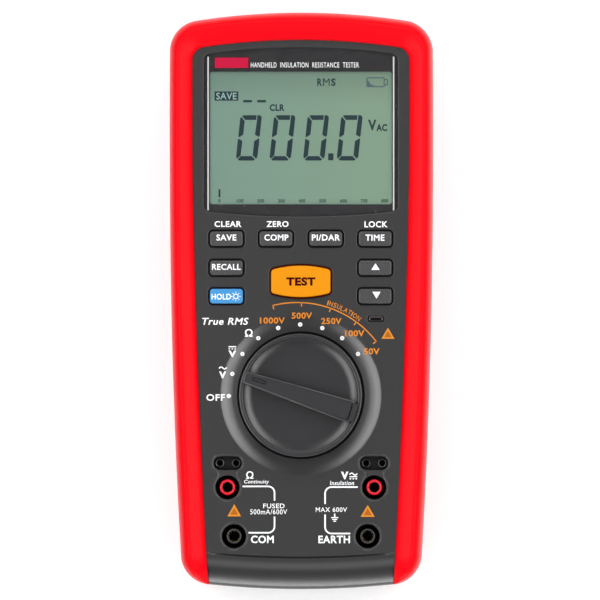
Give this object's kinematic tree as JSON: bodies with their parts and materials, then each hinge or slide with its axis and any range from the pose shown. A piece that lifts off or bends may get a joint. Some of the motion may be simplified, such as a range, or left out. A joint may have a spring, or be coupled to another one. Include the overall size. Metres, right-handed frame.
{
  "type": "insulation resistance tester",
  "caption": "Handheld insulation resistance tester: red bumpered grey case, grey-green display, range knob, push keys, shrouded 4 mm sockets, battery door and tilt stand.",
  "frame": {"origin": "under the middle of the case, on the plane of its rubber feet", "axes": "+Y along the case to the display end, +Z out of the front panel, +X to the right of the panel"},
  "size_m": [0.1026, 0.225, 0.059],
  "materials": {
    "cover_grey": "fine spark-eroded texture",
    "overmould_red": "satin soft-touch",
    "black_rubber": "matt",
    "screw_steel": "zinc plated",
    "clear_window": "polished",
    "black_print": "printed film",
    "lcd_grey_green": "satin polariser",
    "light_guide": "frosted",
    "black_plastic": "moulded",
    "zebra_rubber": "matt",
    "membrane_rubber": "matt silicone",
    "lamp_window": "smoked",
    "sleeve_red": "moulded",
    "contact_brass": "plated",
    "board_green": "solder mask",
    "winding_copper": "taped winding",
    "capacitor_blue": "sleeved",
    "relay_white": "moulded",
    "fuse_ceramic": "glazed",
    "spring_steel": "nickel plated",
    "cell_jacket": "printed foil",
    "knob_grey": "fine texture",
    "rotor_cream": "moulded",
    "key_grey": "satin silicone",
    "key_blue": "satin silicone",
    "key_orange": "satin silicone"
  },
  "bodies": {
    "case": {"front_cover": "cover_grey", "front_overmould": "overmould_red", "rear_cover": "cover_grey", "rear_overmould": "overmould_red", "case_seal": "black_rubber", "case_screws": "screw_steel", "rubber_feet": "black_rubber", "lcd_lens": "clear_window", "lens_mask": "black_print", "lcd_glass": "lcd_grey_green", "lcd_backlight": "light_guide", "lcd_frame": "black_plastic", "zebra_strip": "zebra_rubber", "keypad_membrane": "membrane_rubber", "status_window": "lamp_window", "status_led": "lamp_window", "socket_block_left": "black_plastic", "socket_block_right": "black_plastic", "sleeve_red_left": "sleeve_red", "sleeve_red_right": "sleeve_red", "sleeve_black_left": "black_plastic", "sleeve_black_right": "black_plastic", "jack_contacts": "contact_brass", "probe_contacts": "contact_brass", "main_board": "board_green", "processor_chips": "black_plastic", "hv_transformer": "winding_copper", "hv_capacitors": "capacitor_blue", "range_relay": "relay_white", "buzzer": "black_plastic", "input_fuse": "fuse_ceramic", "fuse_clips": "spring_steel", "detent_ring": "spring_steel", "battery_box": "black_plastic", "aa_cell_1": "cell_jacket", "aa_cell_2": "cell_jacket", "aa_cell_3": "cell_jacket", "aa_cell_4": "cell_jacket", "battery_springs": "spring_steel", "battery_plates": "spring_steel", "stand_pin": "screw_steel"},
    "door": {"battery_door": "cover_grey", "door_seal": "black_rubber", "door_screws": "screw_steel"},
    "knob": {"range_knob": "knob_grey", "switch_rotor": "rotor_cream", "switch_wipers": "contact_brass", "detent_balls": "spring_steel", "detent_springs": "spring_steel"},
    "stand": {"tilt_stand": "cover_grey"},
    "save_button": {"key_save": "key_grey"},
    "comp_button": {"key_comp": "key_grey"},
    "pi_dar_button": {"key_pi_dar": "key_grey"},
    "time_button": {"key_time": "key_grey"},
    "recall_button": {"key_recall": "key_grey"},
    "hold_button": {"key_hold": "key_blue"},
    "up_button": {"key_up": "key_grey"},
    "down_button": {"key_down": "key_grey"},
    "test_button": {"key_test": "key_orange"}
  },
  "joints": [
    {"name": "knob_turn", "type": "hinge", "parent": "case", "child": "knob", "pos_m": [0, -0.0367, 0.0475], "axis": [0, 0, 1], "range_deg": [-126, 18]},
    {"name": "stand_swing", "type": "hinge", "parent": "case", "child": "stand", "pos_m": [0, 0.046, 0.0036], "axis": [1, 0, 0], "range_deg": [0, 60]},
    {"name": "door_lift_off", "type": "slide", "parent": "case", "child": "door", "axis": [0, 0, -1], "range_m": [0, 0.03]},
    {"name": "save_press", "type": "slide", "parent": "case", "child": "save_button", "axis": [0, 0, -1], "range_m": [0, 0.0008], "stiffness_N_per_m": 1500},
    {"name": "comp_press", "type": "slide", "parent": "case", "child": "comp_button", "axis": [0, 0, -1], "range_m": [0, 0.0008], "stiffness_N_per_m": 1500},
    {"name": "pi_dar_press", "type": "slide", "parent": "case", "child": "pi_dar_button", "axis": [0, 0, -1], "range_m": [0, 0.0008], "stiffness_N_per_m": 1500},
    {"name": "time_press", "type": "slide", "parent": "case", "child": "time_button", "axis": [0, 0, -1], "range_m": [0, 0.0008], "stiffness_N_per_m": 1500},
    {"name": "recall_press", "type": "slide", "parent": "case", "child": "recall_button", "axis": [0, 0, -1], "range_m": [0, 0.0008], "stiffness_N_per_m": 1500},
    {"name": "hold_press", "type": "slide", "parent": "case", "child": "hold_button", "axis": [0, 0, -1], "range_m": [0, 0.0008], "stiffness_N_per_m": 1500},
    {"name": "up_press", "type": "slide", "parent": "case", "child": "up_button", "axis": [0, 0, -1], "range_m": [0, 0.0008], "stiffness_N_per_m": 1500},
    {"name": "down_press", "type": "slide", "parent": "case", "child": "down_button", "axis": [0, 0, -1], "range_m": [0, 0.0008], "stiffness_N_per_m": 1500},
    {"name": "test_press", "type": "slide", "parent": "case", "child": "test_button", "axis": [0, 0, -1], "range_m": [0, 0.0008], "stiffness_N_per_m": 1500}
  ]
}
